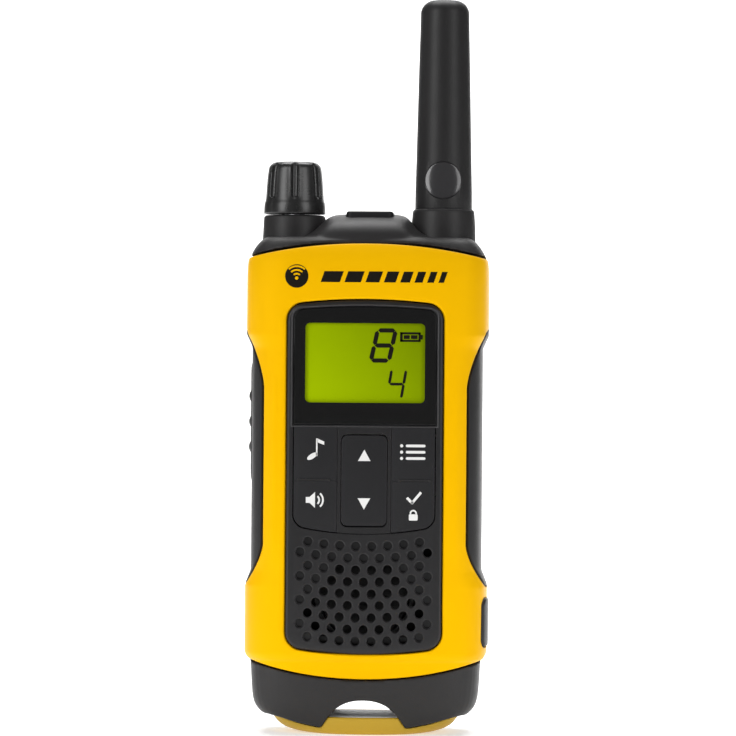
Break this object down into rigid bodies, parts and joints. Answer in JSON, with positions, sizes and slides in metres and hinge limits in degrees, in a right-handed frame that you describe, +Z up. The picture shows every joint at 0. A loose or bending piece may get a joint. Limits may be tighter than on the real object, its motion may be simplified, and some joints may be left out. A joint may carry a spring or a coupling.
{
  "type": "two way radio",
  "caption": "Handheld two way radio: yellow shell over a black case, stub antenna, volume knob, display, keypad, speaker grille, talk button and belt clip.",
  "frame": {"origin": "centre of the flat foot under the base, where the radio stands", "axes": "+Z up along the antenna, -Y out of the front with the keys, +X to the right of someone facing it"},
  "size_m": [0.0587, 0.0392, 0.177],
  "materials": {
    "shell_yellow": "satin",
    "housing_black": "satin",
    "plate_black": "semi-gloss",
    "grip_rubber": "matt",
    "key_rubber": "matt",
    "window_glass": "gloss",
    "lcd_green": "satin",
    "backlight_white": "satin",
    "steel": "satin",
    "brass": "satin",
    "board_green": "satin",
    "component_black": "matt",
    "cone_black": "matt",
    "foam_grey": "matt",
    "cell_wrap": "semi-gloss"
  },
  "bodies": {
    "radio_body": {"alert_switch": "component_black", "antenna_coil": "steel", "antenna_ferrule": "brass", "antenna_sheath": "grip_rubber", "base_rim": "shell_yellow", "battery_tray": "component_black", "case_screw_1": "steel", "case_screw_2": "steel", "case_screw_3": "steel", "case_screw_4": "steel", "cell_1": "cell_wrap", "cell_2": "cell_wrap", "cell_3": "cell_wrap", "charge_socket": "steel", "clip_bracket": "housing_black", "clip_pin": "steel", "clip_spring": "steel", "contact_plate_1": "steel", "contact_plate_2": "steel", "contact_plate_3": "steel", "contact_spring_1": "steel", "contact_spring_2": "steel", "contact_spring_3": "steel", "display_window": "window_glass", "dome_sheet": "backlight_white", "faceplate": "plate_black", "front_housing": "housing_black", "front_shell": "shell_yellow", "grip_left": "grip_rubber", "grip_right": "grip_rubber", "headset_jack": "component_black", "housing_seal": "grip_rubber", "lcd_holder": "backlight_white", "lcd_panel": "lcd_green", "main_board": "board_green", "microphone": "steel", "ptt_switch": "component_black", "rear_housing": "housing_black", "shield_can": "steel", "side_switch": "component_black", "speaker_frame": "steel", "speaker_gasket": "foam_grey", "speaker_magnet": "component_black", "volume_control": "component_black"},
    "volume_knob": {"volume_knob": "housing_black", "knob_shaft": "steel"},
    "alert_button": {"alert_button": "key_rubber"},
    "ptt_button": {"ptt_button": "grip_rubber"},
    "side_button": {"side_button": "grip_rubber"},
    "key_call": {"key_call": "key_rubber"},
    "key_menu": {"key_menu": "key_rubber"},
    "key_monitor": {"key_monitor": "key_rubber"},
    "key_select": {"key_select": "key_rubber"},
    "key_rocker": {"key_rocker": "key_rubber"},
    "port_cover": {"port_cover": "grip_rubber"},
    "battery_door": {"battery_door": "housing_black"},
    "door_latch": {"door_latch": "housing_black"},
    "belt_clip": {"belt_clip": "housing_black"},
    "speaker_cone": {"speaker_cone": "cone_black"}
  },
  "joints": [
    {"name": "volume_turn", "type": "hinge", "parent": "radio_body", "child": "volume_knob", "pos_m": [-0.0181, 0, 0.125], "axis": [0, 0, 1], "range_deg": [-280, 0]},
    {"name": "alert_press", "type": "slide", "parent": "radio_body", "child": "alert_button", "axis": [0, 0, -1], "range_m": [0, 0.0008], "stiffness_N_per_m": 1500},
    {"name": "ptt_press", "type": "slide", "parent": "radio_body", "child": "ptt_button", "axis": [1, 0, 0], "range_m": [0, 0.001], "stiffness_N_per_m": 2000},
    {"name": "side_press", "type": "slide", "parent": "radio_body", "child": "side_button", "axis": [1, 0, 0], "range_m": [0, 0.0007], "stiffness_N_per_m": 1500},
    {"name": "call_press", "type": "slide", "parent": "radio_body", "child": "key_call", "axis": [0, 1, 0], "range_m": [0, 0.0008], "stiffness_N_per_m": 1500},
    {"name": "menu_press", "type": "slide", "parent": "radio_body", "child": "key_menu", "axis": [0, 1, 0], "range_m": [0, 0.0008], "stiffness_N_per_m": 1500},
    {"name": "monitor_press", "type": "slide", "parent": "radio_body", "child": "key_monitor", "axis": [0, 1, 0], "range_m": [0, 0.0008], "stiffness_N_per_m": 1500},
    {"name": "select_press", "type": "slide", "parent": "radio_body", "child": "key_select", "axis": [0, 1, 0], "range_m": [0, 0.0008], "stiffness_N_per_m": 1500},
    {"name": "rocker_tilt", "type": "hinge", "parent": "radio_body", "child": "key_rocker", "pos_m": [0, -0.0134, 0.061], "axis": [1, 0, 0], "range_deg": [-4, 4], "stiffness_Nm_per_rad": 0.2},
    {"name": "cover_swing", "type": "hinge", "parent": "radio_body", "child": "port_cover", "pos_m": [0.0293, -0.0013, 0.027], "axis": [0, 0, 1], "range_deg": [0, 110]},
    {"name": "door_swing", "type": "hinge", "parent": "radio_body", "child": "battery_door", "pos_m": [0, 0.0158, 0.0684], "axis": [1, 0, 0], "range_deg": [0, 70]},
    {"name": "latch_slide", "type": "slide", "parent": "battery_door", "child": "door_latch", "axis": [0, 0, 1], "range_m": [0, 0.0015]},
    {"name": "clip_swing", "type": "hinge", "parent": "radio_body", "child": "belt_clip", "pos_m": [0, 0.0204, 0.105], "axis": [1, 0, 0], "range_deg": [0, 22], "stiffness_Nm_per_rad": 0.4},
    {"name": "cone_travel", "type": "slide", "parent": "radio_body", "child": "speaker_cone", "axis": [0, -1, 0], "range_m": [-0.0003, 0.0003], "stiffness_N_per_m": 1500}
  ]
}
